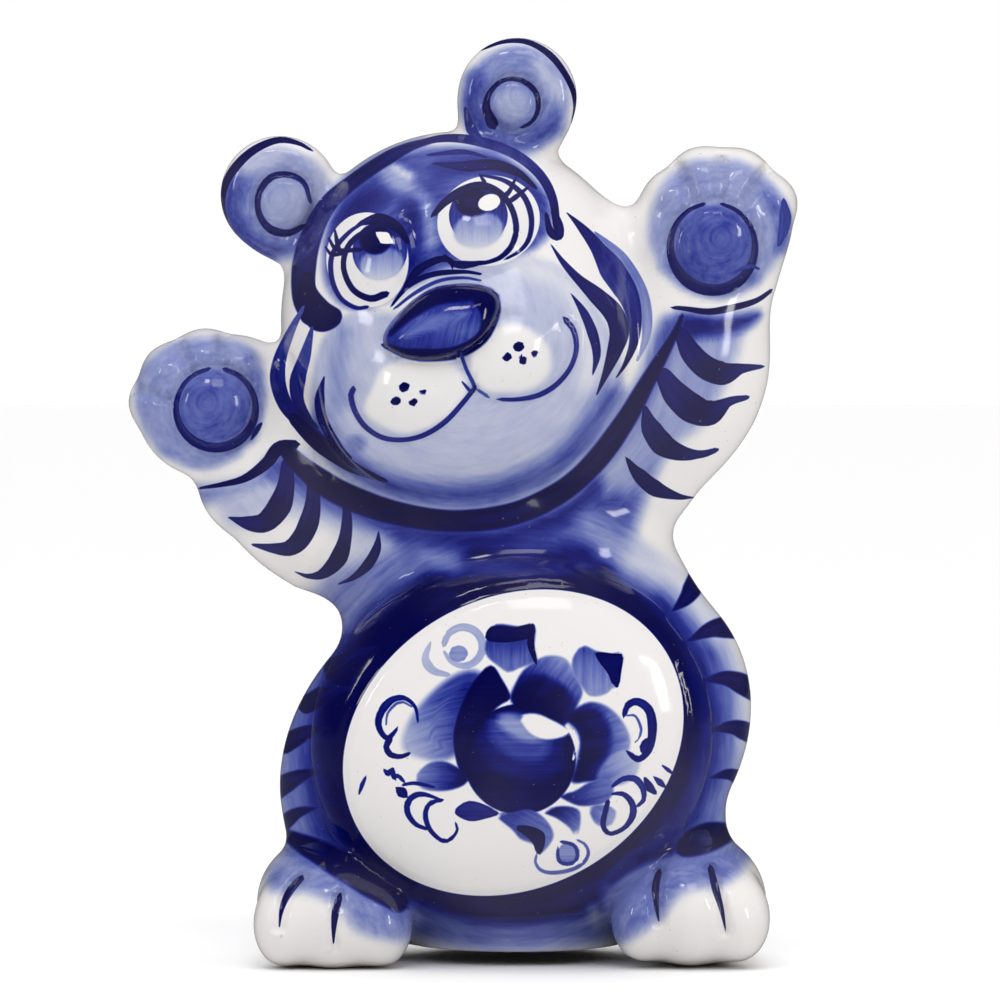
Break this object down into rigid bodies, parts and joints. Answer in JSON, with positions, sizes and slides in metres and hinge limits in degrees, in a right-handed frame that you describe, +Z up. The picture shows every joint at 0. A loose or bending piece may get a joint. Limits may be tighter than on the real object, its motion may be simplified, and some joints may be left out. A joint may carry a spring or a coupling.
{
  "type": "ceramic animal money box",
  "caption": "Hollow glazed porcelain tiger cub money box with raised paws, a coin slot in the back of the head and a pull-out rubber stopper under the body.",
  "frame": {"origin": "centre of the bounding box, on the surface the figure stands on", "axes": "+Z up through the ears, -Y the way the face and belly look, +X towards the higher raised paw, which is the viewer's right"},
  "size_m": [0.1132, 0.056, 0.155],
  "materials": {
    "porcelain": "clear gloss glaze over cobalt blue brush painting on warm white porcelain",
    "rubber": "matt soft black rubber"
  },
  "bodies": {
    "figure": {"porcelain_head": "porcelain", "porcelain_body": "porcelain"},
    "plug": {"stopper": "rubber"}
  },
  "joints": [
    {"name": "stopper_pull", "type": "slide", "parent": "figure", "child": "plug", "axis": [0, 0, -1], "range_m": [0, 0.03]}
  ]
}
